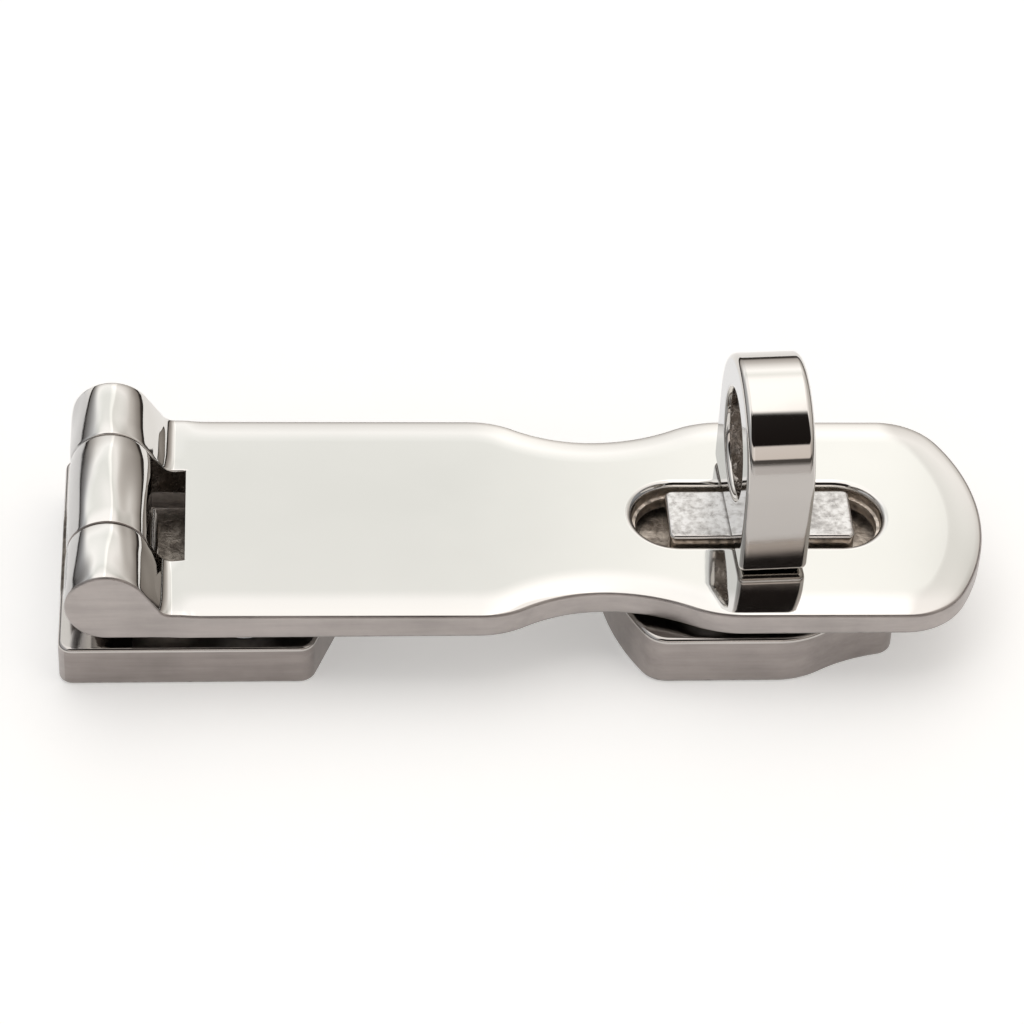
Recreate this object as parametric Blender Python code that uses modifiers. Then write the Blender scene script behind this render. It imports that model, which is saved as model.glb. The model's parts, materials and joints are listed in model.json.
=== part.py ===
# Hasp and staple with a turning eye, cast stainless steel.
# Every dimension below is in millimetres; the model is built in metres, +Z up.
# X runs along the strap from the hinge to the tip, Z = 0 is the mounting plane.
import bpy
import bmesh
from math import sin, cos, pi, radians, sqrt, atan2, degrees, tan
from mathutils import Vector, Matrix

MM = 0.001

# ---- strap ----
STRAP_HALF_W = 12.5          # half of the strap's width
STRAP_BOT = 5.55             # height of its flat underside
STRAP_TOP = 8.3              # height of its top at the notch; the plate thins towards the tip
STRAP_TOP_TIP = 7.8          # height of its top at the tip
TIP_X = 39.675               # furthest point of the rounded tip
TIP_R = 18.8                 # radius of the tip's arc
TIP_CORNER_R = 6.0           # fillet between the tip's arc and the straight side
WAIST_X = 6.325              # narrowest place of the waist
WAIST_HALF_W = 9.72
WAIST_LEFT = 10.6            # shoulder distance on the hinge side
WAIST_RIGHT = 11.8           # shoulder distance on the slot side
SLOT_X = 20.175
SLOT_HALF_L = 10.8
SLOT_HALF_W = 3.9
NOTCH_X = -29.0              # edge of the notch that clears the centre knuckle
NOTCH_HALF_W = 5.66

# ---- hinge ----
HINGE_X = -35.425
BARREL_R = 3.58
HINGE_Z = STRAP_BOT + BARREL_R
KNUCKLE_HALF_W = 5.54        # centre knuckle
PIN_R = 1.5
PIN_CLEAR = 0.06
PIN_HALF_L = 12.45

# ---- leaf (base plate of the hinge) ----
LEAF_LEFT = -39.675
LEAF_HALF_W = 12.15
LEAF_TOP = 4.05
LEAF_CORNER_X = -18.4        # where the straight sides end
LEAF_NOSE_X = -14.4
LEAF_NOSE_Y = 2.2
LEAF_SCREW_X = -24.0
LEAF_SCREW_Y = 7.2

# ---- staple base ----
BASE_TOP = 4.95
BASE_HALF_W = 12.5
BASE_LEFT = 6.575
BASE_END_R = 21.6
BASE_RIGHT = 31.6
BLOCK_X = 20.4
BLOCK_HALF_L = 8.0
BLOCK_HALF_W = 2.95
BLOCK_TOP = 8.1
BORE_R = 1.96
COUNTERBORE_R = 4.6
COUNTERBORE_TOP = 3.7
BASE_SCREW_X = 15.7
BASE_SCREW_Y = 7.1

# ---- screw holes in both plates ----
SCREW_R = 2.1
SCREW_HEAD_R = 3.6

# ---- eye ----
EYE_HALF_T = 2.9             # half of its thickness along X
EYE_R = 7.7                 # outside radius, and half width of the foot
EYE_HOLE_R = 4.7
EYE_Z = 16.25                # centre of the padlock hole
EYE_FOOT = 8.16              # underside of the foot
EYE_FOOT_R = 0.8
EYE_TURN = 3.0               # degrees the eye stands off square, as it is left by hand
SHANK_R = 1.9
SHANK_BOT = 2.45
STUD_R = 1.45
STUD_BOT = 0.45

# ---- washers and nut under the base ----
WAVE_R, WAVE_IN = 4.1, 2.05
WAVE_MID, WAVE_AMP, WAVE_T = 3.4, 0.12, 0.22
FLAT_R, FLAT_IN = 4.2, 1.97
FLAT_TOP, FLAT_T = 3.1, 0.5
NUT_AF = 5.5                 # across flats
NUT_TOP, NUT_T = 2.35, 1.7

SEG = 40                     # segments of a whole small circle


for ob in list(bpy.data.objects):
    bpy.data.objects.remove(ob, do_unlink=True)
scene = bpy.context.scene
main = bpy.data.collections.new("hasp_and_staple")
scene.collection.children.link(main)
tools = bpy.data.collections.new("cutters")
scene.collection.children.link(tools)


# ---------------------------------------------------------------- outlines
def arc(cx, cy, r, a0, a1, n):
    return [(cx + r * cos(radians(a0 + (a1 - a0) * i / n)),
             cy + r * sin(radians(a0 + (a1 - a0) * i / n))) for i in range(n + 1)]


def fillet(p0, p1, p2, r, n):
    a = (Vector(p0) - Vector(p1)).normalized()
    b = (Vector(p2) - Vector(p1)).normalized()
    half = a.angle(b) / 2
    t = r / tan(half)
    c = Vector(p1) + (a + b).normalized() * (r / sin(half))
    s = Vector(p1) + a * t - c
    e = Vector(p1) + b * t - c
    a0 = atan2(s.y, s.x)
    d = atan2(e.y, e.x) - a0
    while d > pi:
        d -= 2 * pi
    while d < -pi:
        d += 2 * pi
    return [(c.x + r * cos(a0 + d * i / n), c.y + r * sin(a0 + d * i / n)) for i in range(n + 1)]


def rounded(corners, n=6):
    """Closed outline through corners given as (x, y, fillet radius)."""
    out = []
    k = len(corners)
    for i, (x, y, r) in enumerate(corners):
        p0, p2 = corners[i - 1][:2], corners[(i + 1) % k][:2]
        out += fillet(p0, (x, y), p2, r, n) if r else [(x, y)]
    return out


def mirrored(half):
    """A half outline (y >= 0, running right to left) made whole about y = 0."""
    other = [(x, -y) for x, y in reversed(half)]
    pts = half + [p for p in other if True]
    out = []
    for p in pts:
        if not out or (Vector(p) - Vector(out[-1])).length > 1e-4:
            out.append(p)
    if (Vector(out[0]) - Vector(out[-1])).length < 1e-4:
        out.pop()
    return out


def waist_side(side):
    """Shoulder arc and waist arc on one side of the narrowest place."""
    h = STRAP_HALF_W - WAIST_HALF_W
    d = WAIST_RIGHT if side > 0 else WAIST_LEFT
    s = (d * d + h * h) / (2 * h)
    rc = 0.37 * s
    rw = s - rc
    turn = degrees(atan2(d, s - h))
    shoulder = arc(WAIST_X + side * d, STRAP_HALF_W - rc, rc, 90, 90 + side * turn, 10)
    waist = arc(WAIST_X, WAIST_HALF_W + rw, rw, 270 + side * turn, 270, 10)
    return shoulder + waist[1:]


def strap_outline():
    tcx = TIP_X - TIP_R
    rf = TIP_CORNER_R
    fx = tcx + sqrt((TIP_R - rf) ** 2 - (STRAP_HALF_W - rf) ** 2)
    a = degrees(atan2(STRAP_HALF_W - rf, fx - tcx))
    half = arc(tcx, 0, TIP_R, 0, a, 14)
    half += arc(fx, STRAP_HALF_W - rf, rf, a, 90, 8)[1:]
    half += waist_side(+1)
    half += list(reversed(waist_side(-1)))[1:]
    half += [(HINGE_X - 6, STRAP_HALF_W)]
    return mirrored(half)


def base_outline():
    ear = 31.0                                  # steepest slope of the flank, degrees
    rc, rv = 7.5, 16.0
    sx = SLOT_X + 0.95
    p = (sx + rc * sin(radians(ear)), BASE_HALF_W - rc + rc * cos(radians(ear)))
    vc = (p[0] + rv * sin(radians(ear)), p[1] + rv * cos(radians(ear)))
    q = arc(vc[0], vc[1], rv, 270 - 10, 270 - ear, 8)       # from the ear back to p
    end = fillet((BASE_RIGHT, 0), (BASE_RIGHT, q[0][1] - 0.25), q[1], 1.6, 6)
    half = [(BASE_RIGHT, 0)] + end + q[1:]
    half += arc(sx, BASE_HALF_W - rc, rc, 90 - ear, 90, 8)[1:]
    ex = BASE_LEFT + BASE_END_R
    rf = 2.5
    fx = ex - sqrt((BASE_END_R - rf) ** 2 - (BASE_HALF_W - rf) ** 2)
    a = degrees(atan2(BASE_HALF_W - rf, ex - fx))
    half += arc(fx, BASE_HALF_W - rf, rf, 90, 180 - a, 6)
    half += arc(ex, 0, BASE_END_R, 180 - a, 180, 12)[1:]
    return mirrored(half)


def leaf_outline():
    return rounded([(LEAF_LEFT, LEAF_HALF_W, 1.2), (LEAF_LEFT, -LEAF_HALF_W, 1.2),
                    (LEAF_CORNER_X, -LEAF_HALF_W, 1.5), (LEAF_NOSE_X, -LEAF_NOSE_Y, 3.0),
                    (LEAF_NOSE_X, LEAF_NOSE_Y, 3.0), (LEAF_CORNER_X, LEAF_HALF_W, 1.5)])


def strap_side_profile():
    """X-Z profile of the whole strap: barrel, slope down to the top, flat plate."""
    leave = 33.0                                  # where the slope leaves the barrel
    ring = arc(HINGE_X, HINGE_Z, BARREL_R, leave, 270, 36)      # over the top to the bottom
    px, pz = ring[0]
    slope = tan(radians(90 - leave))
    foot = (px + (pz - STRAP_TOP) / slope, STRAP_TOP)
    end = (TIP_X + 3, STRAP_TOP_TIP)
    blend = fillet((px, pz), foot, end, 1.3, 8)
    return ring + [(end[0], STRAP_BOT), end] + list(reversed(blend))[:-1]


def centre_knuckle_profile():
    """X-Z profile of the leaf's knuckle on its neck."""
    ring = arc(HINGE_X, HINGE_Z, BARREL_R, -20, 180, 30)
    low = LEAF_TOP - 0.6
    sunk = LEAF_TOP - 0.03                        # the fillet runs just into the plate
    neck = fillet(ring[0], (HINGE_X + 2.9, sunk), (HINGE_X + 7, sunk), 1.2, 6)
    return ring + [(HINGE_X - BARREL_R, low), (neck[-1][0], low)] + list(reversed(neck))


# ---------------------------------------------------------------- solids
def extruded(name, pts, lo, hi, plane, coll=main):
    """Flat closed outline, extruded from lo to hi. plane: 'XY', 'XZ' or 'YZ'."""
    cu = bpy.data.curves.new(name + "_outline", "CURVE")
    cu.dimensions = "2D"
    cu.fill_mode = "BOTH"
    cu.extrude = (hi - lo) / 2 * MM
    sp = cu.splines.new("POLY")
    sp.points.add(len(pts) - 1)
    for point, (x, y) in zip(sp.points, pts):
        point.co = (x * MM, y * MM, 0, 1)
    sp.use_cyclic_u = True
    ob = bpy.data.objects.new(name + "_curve", cu)
    coll.objects.link(ob)
    mid = (hi + lo) / 2 * MM
    if plane == "XY":
        ob.matrix_world = Matrix.Translation((0, 0, mid))
    elif plane == "XZ":
        ob.matrix_world = Matrix(((1, 0, 0, 0), (0, 0, -1, mid), (0, 1, 0, 0), (0, 0, 0, 1)))
    else:
        ob.matrix_world = Matrix(((0, 0, 1, mid), (1, 0, 0, 0), (0, 1, 0, 0), (0, 0, 0, 1)))
    return as_mesh(name, ob, coll)


def as_mesh(name, ob, coll=main):
    bpy.context.view_layer.update()
    ev = ob.evaluated_get(bpy.context.evaluated_depsgraph_get())
    me = bpy.data.meshes.new_from_object(ev)
    me.transform(ob.matrix_world)
    bm = bmesh.new()
    bm.from_mesh(me)
    bmesh.ops.remove_doubles(bm, verts=bm.verts, dist=1e-7)
    bmesh.ops.recalc_face_normals(bm, faces=bm.faces)
    bm.to_mesh(me)
    bm.free()
    data = ob.data
    bpy.data.objects.remove(ob, do_unlink=True)
    if isinstance(data, bpy.types.Curve):
        bpy.data.curves.remove(data)
    new = bpy.data.objects.new(name, me)
    coll.objects.link(new)
    return new


def drum(name, r0, r1, p0, p1, axis="Z", seg=SEG, coll=main):
    """Cylinder or cone from p0 to p1 along an axis; r0 and r1 are the end radii."""
    a, b = Vector(p0) * MM, Vector(p1) * MM
    bm = bmesh.new()
    bmesh.ops.create_cone(bm, cap_ends=True, segments=seg, radius1=r0 * MM, radius2=r1 * MM,
                          depth=(b - a).length)
    rot = (b - a).to_track_quat("Z", "Y").to_matrix().to_4x4()
    bm.transform(Matrix.Translation((a + b) / 2) @ rot)
    me = bpy.data.meshes.new(name)
    bm.to_mesh(me)
    bm.free()
    ob = bpy.data.objects.new(name, me)
    coll.objects.link(ob)
    return ob


def box(name, lo, hi, coll=main):
    bm = bmesh.new()
    bmesh.ops.create_cube(bm, size=1.0)
    size = [(h - l) * MM for l, h in zip(lo, hi)]
    mid = [(h + l) / 2 * MM for l, h in zip(lo, hi)]
    bm.transform(Matrix.Translation(mid) @ Matrix.Diagonal((*size, 1)))
    me = bpy.data.meshes.new(name)
    bm.to_mesh(me)
    bm.free()
    ob = bpy.data.objects.new(name, me)
    coll.objects.link(ob)
    return ob


def boolean(target, tool, how):
    for c in list(tool.users_collection):
        c.objects.unlink(tool)
    tools.objects.link(tool)
    tool.hide_render = True
    tool.display_type = "WIRE"
    m = target.modifiers.new(how.lower() + "_" + tool.name, "BOOLEAN")
    m.operation = how
    m.solver = "EXACT"
    m.object = tool


def soften(ob, width, angle=35, segments=2):
    m = ob.modifiers.new("edge_round", "BEVEL")
    m.width = width * MM
    m.segments = segments
    m.limit_method = "ANGLE"
    m.angle_limit = radians(angle)
    m.use_clamp_overlap = True


def steel(name, color, rough):
    mat = bpy.data.materials.new(name)
    mat.use_nodes = True
    bsdf = mat.node_tree.nodes["Principled BSDF"]
    bsdf.inputs["Base Color"].default_value = (*color, 1)
    bsdf.inputs["Metallic"].default_value = 1.0
    bsdf.inputs["Roughness"].default_value = rough
    return mat


def finish(ob, mat, origin=None):
    """Give the material, smooth the round sides and put the origin on the joint axis."""
    ob.data.materials.clear()
    ob.data.materials.append(mat)
    if origin is not None:
        o = Vector(origin) * MM
        ob.data.transform(Matrix.Translation(-o))
        ob.matrix_world = Matrix.Translation(o)
    ob.data.shade_smooth()
    ob.data.set_sharp_from_angle(angle=radians(30))


HINGE = (HINGE_X, 0, HINGE_Z)
SWIVEL = (BLOCK_X, 0, EYE_FOOT)

# ---- hasp strap: plate, two knuckles, slot, notch and pin bore ----
strap = extruded("hasp_strap", strap_side_profile(), -14, 14, "XZ")
boolean(strap, extruded("strap_plan", strap_outline(), 0, 20, "XY"), "INTERSECT")
boolean(strap, box("notch", (HINGE_X - 7, -NOTCH_HALF_W, 0), (NOTCH_X, NOTCH_HALF_W, 20)), "DIFFERENCE")
slot_pts = (arc(SLOT_X + SLOT_HALF_L - SLOT_HALF_W, 0, SLOT_HALF_W, -90, 90, 20)
            + arc(SLOT_X - SLOT_HALF_L + SLOT_HALF_W, 0, SLOT_HALF_W, 90, 270, 20))
boolean(strap, extruded("slot", slot_pts, 3, 10, "XY"), "DIFFERENCE")
boolean(strap, drum("strap_pin_bore", PIN_R + 0.02, PIN_R + 0.02, (HINGE_X, -14, HINGE_Z),
                    (HINGE_X, 14, HINGE_Z)), "DIFFERENCE")

# ---- hinge leaf: plate with the centre knuckle and two countersunk holes ----
leaf = extruded("hinge_leaf", leaf_outline(), 0, LEAF_TOP, "XY")
boolean(leaf, extruded("knuckle_centre", centre_knuckle_profile(), -KNUCKLE_HALF_W, KNUCKLE_HALF_W, "XZ"), "UNION")
boolean(leaf, drum("leaf_pin_bore", PIN_R + PIN_CLEAR, PIN_R + PIN_CLEAR,
                   (HINGE_X, -8, HINGE_Z), (HINGE_X, 8, HINGE_Z)), "DIFFERENCE")
for i, y in enumerate((LEAF_SCREW_Y, -LEAF_SCREW_Y)):
    boolean(leaf, drum("leaf_screw_%d" % i, SCREW_R, SCREW_R, (LEAF_SCREW_X, y, -1),
                       (LEAF_SCREW_X, y, 6)), "DIFFERENCE")
    boolean(leaf, drum("leaf_sink_%d" % i, SCREW_R - 0.4, SCREW_HEAD_R + 0.5,
                       (LEAF_SCREW_X, y, LEAF_TOP - (SCREW_HEAD_R - SCREW_R) - 0.4),
                       (LEAF_SCREW_X, y, LEAF_TOP + 0.5)), "DIFFERENCE")

# ---- hinge pin ----
pin = drum("hinge_pin", PIN_R, PIN_R, (HINGE_X, -PIN_HALF_L, HINGE_Z), (HINGE_X, PIN_HALF_L, HINGE_Z))
soften(pin, 0.1, segments=1)

# ---- staple base: plate with the raised block, counterbore and two countersunk holes ----
base = extruded("staple_base", base_outline(), 0, BASE_TOP, "XY")
block_pts = rounded([(BLOCK_X + BLOCK_HALF_L, BLOCK_HALF_W, 0.35), (BLOCK_X - BLOCK_HALF_L, BLOCK_HALF_W, 0.35),
                     (BLOCK_X - BLOCK_HALF_L, -BLOCK_HALF_W, 0.35), (BLOCK_X + BLOCK_HALF_L, -BLOCK_HALF_W, 0.35)], 3)
boolean(base, extruded("block", block_pts, BASE_TOP - 0.6, BLOCK_TOP, "XY"), "UNION")
boolean(base, drum("shank_bore", BORE_R, BORE_R, (BLOCK_X, 0, 1), (BLOCK_X, 0, 10)), "DIFFERENCE")
boolean(base, drum("counterbore", COUNTERBORE_R, COUNTERBORE_R, (BLOCK_X, 0, -1),
                   (BLOCK_X, 0, COUNTERBORE_TOP)), "DIFFERENCE")
for i, y in enumerate((BASE_SCREW_Y, -BASE_SCREW_Y)):
    boolean(base, drum("base_screw_%d" % i, SCREW_R, SCREW_R, (BASE_SCREW_X, y, -1),
                       (BASE_SCREW_X, y, 8)), "DIFFERENCE")
    boolean(base, drum("base_sink_%d" % i, SCREW_R - 0.4, SCREW_HEAD_R + 0.5,
                       (BASE_SCREW_X, y, BASE_TOP - (SCREW_HEAD_R - SCREW_R) - 0.4),
                       (BASE_SCREW_X, y, BASE_TOP + 0.5)), "DIFFERENCE")

# ---- swivel eye: arch with the padlock hole, on its shank and threaded stud ----
arch = arc(0, EYE_Z, EYE_R, 0, 180, 40)
arch += fillet((-EYE_R, EYE_Z), (-EYE_R, EYE_FOOT), (0, EYE_FOOT), EYE_FOOT_R, 6)
arch += fillet((0, EYE_FOOT), (EYE_R, EYE_FOOT), (EYE_R, EYE_Z), EYE_FOOT_R, 6)
eye = extruded("swivel_eye", arch, BLOCK_X - EYE_HALF_T, BLOCK_X + EYE_HALF_T, "YZ")
boolean(eye, drum("padlock_hole", EYE_HOLE_R, EYE_HOLE_R, (BLOCK_X - 5, 0, EYE_Z),
                  (BLOCK_X + 5, 0, EYE_Z), seg=56), "DIFFERENCE")
boolean(eye, drum("shank", SHANK_R, SHANK_R, (BLOCK_X, 0, SHANK_BOT), (BLOCK_X, 0, EYE_FOOT + 1)), "UNION")
boolean(eye, drum("stud", STUD_R, STUD_R, (BLOCK_X, 0, STUD_BOT), (BLOCK_X, 0, SHANK_BOT + 1)), "UNION")
axis = Matrix.Translation((BLOCK_X * MM, 0, 0))
eye.data.transform(axis @ Matrix.Rotation(radians(EYE_TURN), 4, "Z") @ axis.inverted())

# ---- wave washer: a ring bent into three waves ----
bm = bmesh.new()
bmesh.ops.create_circle(bm, cap_ends=False, segments=48, radius=WAVE_R * MM)
ring = bmesh.ops.extrude_edge_only(bm, edges=list(bm.edges))
for v in [g for g in ring["geom"] if isinstance(g, bmesh.types.BMVert)]:
    v.co *= WAVE_IN / WAVE_R
for v in bm.verts:
    v.co.z = WAVE_AMP * MM * cos(3 * atan2(v.co.y, v.co.x))
bm.transform(Matrix.Translation((BLOCK_X * MM, 0, WAVE_MID * MM)))
me = bpy.data.meshes.new("wave_washer")
bm.to_mesh(me)
bm.free()
wave = bpy.data.objects.new("wave_washer", me)
main.objects.link(wave)
m = wave.modifiers.new("thickness", "SOLIDIFY")
m.thickness = WAVE_T * MM
m.offset = 0

# ---- flat washer ----
flat = drum("flat_washer", FLAT_R, FLAT_R, (BLOCK_X, 0, FLAT_TOP - FLAT_T), (BLOCK_X, 0, FLAT_TOP))
boolean(flat, drum("washer_hole", FLAT_IN, FLAT_IN, (BLOCK_X, 0, 0), (BLOCK_X, 0, 6)), "DIFFERENCE")

# ---- lock nut ----
nut = drum("lock_nut", NUT_AF / sqrt(3), NUT_AF / sqrt(3), (BLOCK_X, 0, NUT_TOP - NUT_T),
           (BLOCK_X, 0, NUT_TOP), seg=6)
boolean(nut, drum("nut_hole", STUD_R + 0.05, STUD_R + 0.05, (BLOCK_X, 0, -1), (BLOCK_X, 0, 5)), "DIFFERENCE")

polished = (0.86, 0.855, 0.84)
satin = (0.55, 0.53, 0.51)
for ob, mat, origin in (
        (strap, steel("strap_polished_steel", polished, 0.06), HINGE),
        (leaf, steel("leaf_satin_steel", satin, 0.28), None),
        (pin, steel("pin_steel", (0.62, 0.6, 0.58), 0.2), HINGE),
        (base, steel("base_satin_steel", satin, 0.3), (BLOCK_X, 0, 0)),
        (eye, steel("eye_polished_steel", polished, 0.07), SWIVEL),
        (wave, steel("spring_steel", (0.5, 0.49, 0.48), 0.3), None),
        (flat, steel("washer_steel", (0.6, 0.59, 0.58), 0.3), SWIVEL),
        (nut, steel("nut_steel", (0.6, 0.59, 0.58), 0.25), SWIVEL)):
    finish(ob, mat, origin)
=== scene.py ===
import bpy, bmesh, json
from math import sin, cos, tan, pi, radians, degrees, sqrt, atan2, hypot
from mathutils import Vector, Matrix


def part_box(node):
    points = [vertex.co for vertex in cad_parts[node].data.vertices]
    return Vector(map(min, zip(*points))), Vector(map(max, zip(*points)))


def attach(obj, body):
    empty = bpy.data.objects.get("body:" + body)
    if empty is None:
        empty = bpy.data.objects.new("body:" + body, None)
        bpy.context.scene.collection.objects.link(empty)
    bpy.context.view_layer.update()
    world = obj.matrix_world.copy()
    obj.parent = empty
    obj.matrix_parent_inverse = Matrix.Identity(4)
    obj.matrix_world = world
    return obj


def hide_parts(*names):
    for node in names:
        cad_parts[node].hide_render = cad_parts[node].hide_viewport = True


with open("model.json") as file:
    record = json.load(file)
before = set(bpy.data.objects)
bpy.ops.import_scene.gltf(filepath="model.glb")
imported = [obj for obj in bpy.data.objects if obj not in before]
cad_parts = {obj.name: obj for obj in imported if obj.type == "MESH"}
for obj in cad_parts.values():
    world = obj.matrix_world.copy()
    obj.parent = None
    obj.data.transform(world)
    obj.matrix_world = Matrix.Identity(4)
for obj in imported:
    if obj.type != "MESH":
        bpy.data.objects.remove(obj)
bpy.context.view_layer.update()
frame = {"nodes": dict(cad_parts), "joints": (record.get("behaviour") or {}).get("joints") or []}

MM = 0.001

# ------------------------------------------------------------------ sizes, in mm, as the frame has them
def mmbox(node):
    lo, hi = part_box(node)
    return [v / MM for v in lo], [v / MM for v in hi]

(s_lo, s_hi), (l_lo, l_hi), (b_lo, b_hi), (e_lo, e_hi) = [mmbox(n) for n in ("hasp_strap", "hinge_leaf", "staple_base", "swivel_eye")]
hinge = [j for j in frame["joints"] if j["name"] == "strap_hinge"][0]
swivel = [j for j in frame["joints"] if j["name"] == "eye_swivel"][0]
HX, HZ = hinge["pos_m"][0] / MM, hinge["pos_m"][2] / MM
EX = swivel["pos_m"][0] / MM
BR = HX - s_lo[0]                       # barrel radius
HW = s_hi[1]                            # half width of the strap
TIP = s_hi[0]
BOT = HZ - BR                           # strap's underside
TOP0, TOP1 = 8.3, 7.8                   # strap's top at the notch and at the tip
NOTCH_X, NOTCH_Y = -29.0, 5.66
SLOT_X, SLOT_L, SLOT_W = 20.175, 10.8, 3.9
WAIST_X, WAIST_W, WAIST_L, WAIST_R = 6.325, 9.72, 10.6, 11.8
TIP_R, TIP_C = 18.8, 6.0
XJ = -24.0                              # where the hinge end meets the plate


# ------------------------------------------------------------------ outline helpers
def arc(cx, cy, r, a0, a1, n):
    return [(cx + r * cos(radians(a0 + (a1 - a0) * i / n)), cy + r * sin(radians(a0 + (a1 - a0) * i / n))) for i in range(n + 1)]


def fillet(p0, p1, p2, r, n):
    a = (Vector(p0) - Vector(p1)).normalized()
    b = (Vector(p2) - Vector(p1)).normalized()
    half = a.angle(b) / 2
    t = r / tan(half)
    c = Vector(p1) + (a + b).normalized() * (r / sin(half))
    s = Vector(p1) + a * t - c
    e = Vector(p1) + b * t - c
    a0 = atan2(s.y, s.x)
    d = atan2(e.y, e.x) - a0
    while d > pi: d -= 2 * pi
    while d < -pi: d += 2 * pi
    return [(c.x + r * cos(a0 + d * i / n), c.y + r * sin(a0 + d * i / n)) for i in range(n + 1)]


def clean(pts, eps=1e-4, closed=True):
    out = []
    for p in pts:
        if not out or hypot(p[0] - out[-1][0], p[1] - out[-1][1]) > eps:
            out.append(p)
    if closed and hypot(out[0][0] - out[-1][0], out[0][1] - out[-1][1]) < eps:
        out.pop()
    return out


def spread(pts, step, closed=True):
    """Long straight runs get more points, so that the surface has an even mesh."""
    out = []
    n = len(pts)
    for i in range(n if closed else n - 1):
        a, b = pts[i], pts[(i + 1) % n]
        k = max(1, int(hypot(b[0] - a[0], b[1] - a[1]) / step))
        out += [(a[0] + (b[0] - a[0]) * j / k, a[1] + (b[1] - a[1]) * j / k) for j in range(k)]
    if not closed:
        out.append(pts[-1])
    return out


def rounded(corners, n=8):
    out = []
    for i, (x, y, r) in enumerate(corners):
        out += fillet(corners[i - 1][:2], (x, y), corners[(i + 1) % len(corners)][:2], r, n) if r else [(x, y)]
    return clean(out)


def area2(pts):
    return sum(pts[i][0] * pts[(i + 1) % len(pts)][1] - pts[(i + 1) % len(pts)][0] * pts[i][1] for i in range(len(pts)))


def ccw(pts):
    return pts if area2(pts) > 0 else list(reversed(pts))


def normals(pts, closed=True, ends=None):
    """Outward normals of a counter-clockwise outline."""
    n = len(pts)
    out = []
    for i in range(n):
        if closed:
            a, b, c = pts[i - 1], pts[i], pts[(i + 1) % n]
        else:
            a, b, c = pts[max(i - 1, 0)], pts[i], pts[min(i + 1, n - 1)]
        def unit(p, q):
            d = hypot(q[0] - p[0], q[1] - p[1]) or 1
            return (q[0] - p[0]) / d, (q[1] - p[1]) / d
        u = unit(a, b) if b != a else unit(b, c)
        v = unit(b, c) if c != b else unit(a, b)
        tx, ty = u[0] + v[0], u[1] + v[1]
        L = hypot(tx, ty) or 1
        tx, ty = tx / L, ty / L
        k = 1 / max(0.5, u[0] * tx + u[1] * ty)
        out.append((ty * k, -tx * k))
    if ends:
        out[0], out[-1] = ends
    return out


def strap_outline(n=1):
    tcx = TIP - TIP_R
    fx = tcx + sqrt((TIP_R - TIP_C) ** 2 - (HW - TIP_C) ** 2)
    a = degrees(atan2(HW - TIP_C, fx - tcx))
    def side(sg):
        h = HW - WAIST_W
        d = WAIST_R if sg > 0 else WAIST_L
        s = (d * d + h * h) / (2 * h)
        rc = 0.37 * s
        rw = s - rc
        turn = degrees(atan2(d, s - h))
        return arc(WAIST_X + sg * d, HW - rc, rc, 90, 90 + sg * turn, 14) + arc(WAIST_X, WAIST_W + rw, rw, 270 + sg * turn, 270, 16)[1:]
    half = arc(tcx, 0, TIP_R, 0, a, 22) + arc(fx, HW - TIP_C, TIP_C, a, 90, 16)[1:]
    half += side(+1) + list(reversed(side(-1)))[1:] + [(XJ, HW)]
    half = spread(clean(half, closed=False), 2.0, closed=False)
    other = [(x, -y) for x, y in reversed(half)]
    return clean(other + half, closed=False)          # counter-clockwise, from (XJ, -HW) round the tip to (XJ, +HW)


def round_edge(r, n=5, support=0.06, cushion=0.0, width=3.0, rings=7):
    """(inset, drop) pairs from the flat inside to the vertical side."""
    out = []
    if cushion:
        out.append((width + support, 0.0))
        out += [(width + (r - width) * i / rings, 0.0) for i in range(rings)]
    else:
        out.append((r + support, 0.0))
    out += [(r * (1 - sin(pi / 2 * i / n)), r * (1 - cos(pi / 2 * i / n))) for i in range(n + 1)]
    out = [(i, d + (cushion * (1 - i / width) ** 2 if cushion and i < width else 0.0)) for i, d in out]
    out.append((0.0, out[-1][1] + support))
    return out


class Build:
    """Collects vertices and faces in mm and makes one mesh object."""
    def __init__(self, name):
        self.name, self.bm = name, bmesh.new()

    def v(self, x, y, z):
        return self.bm.verts.new((x * MM, y * MM, z * MM))

    def strip(self, a, b, mat=0, closed=False):
        n = len(a)
        for i in range(n if closed else n - 1):
            j = (i + 1) % n
            try:
                f = self.bm.faces.new((a[i], a[j], b[j], b[i]))
                f.material_index = mat
            except ValueError:
                pass

    def face(self, vs, mat=0):
        try:
            f = self.bm.faces.new(vs)
            f.material_index = mat
            return f
        except ValueError:
            return None

    def cap(self, loops, mat=0, z=None):
        """A flat face with holes, between closed loops of vertices."""
        edges = []
        for lp in loops:
            for i in range(len(lp)):
                e = self.bm.edges.get((lp[i], lp[(i + 1) % len(lp)]))
                edges.append(e or self.bm.edges.new((lp[i], lp[(i + 1) % len(lp)])))
        r = bmesh.ops.triangle_fill(self.bm, use_beauty=True, use_dissolve=False, edges=edges)
        for g in r["geom"]:
            if isinstance(g, bmesh.types.BMFace):
                g.material_index = mat

    def done(self, mats, merge=1e-6, sharp=38, matrix=None, link=True):
        bm = self.bm
        bmesh.ops.remove_doubles(bm, verts=bm.verts, dist=merge)
        bmesh.ops.dissolve_degenerate(bm, dist=1e-7, edges=bm.edges)
        bmesh.ops.recalc_face_normals(bm, faces=bm.faces)
        me = bpy.data.meshes.new(self.name)
        if matrix is not None:
            bm.transform(matrix)
            if matrix.determinant() < 0:
                bmesh.ops.reverse_faces(bm, faces=bm.faces)
        bm.to_mesh(me)
        bm.free()
        for m in mats:
            me.materials.append(m)
        me.shade_smooth()
        me.set_sharp_from_angle(angle=radians(sharp))
        ob = bpy.data.objects.new(self.name, me)
        if link:
            bpy.context.scene.collection.objects.link(ob)
        return ob


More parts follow.
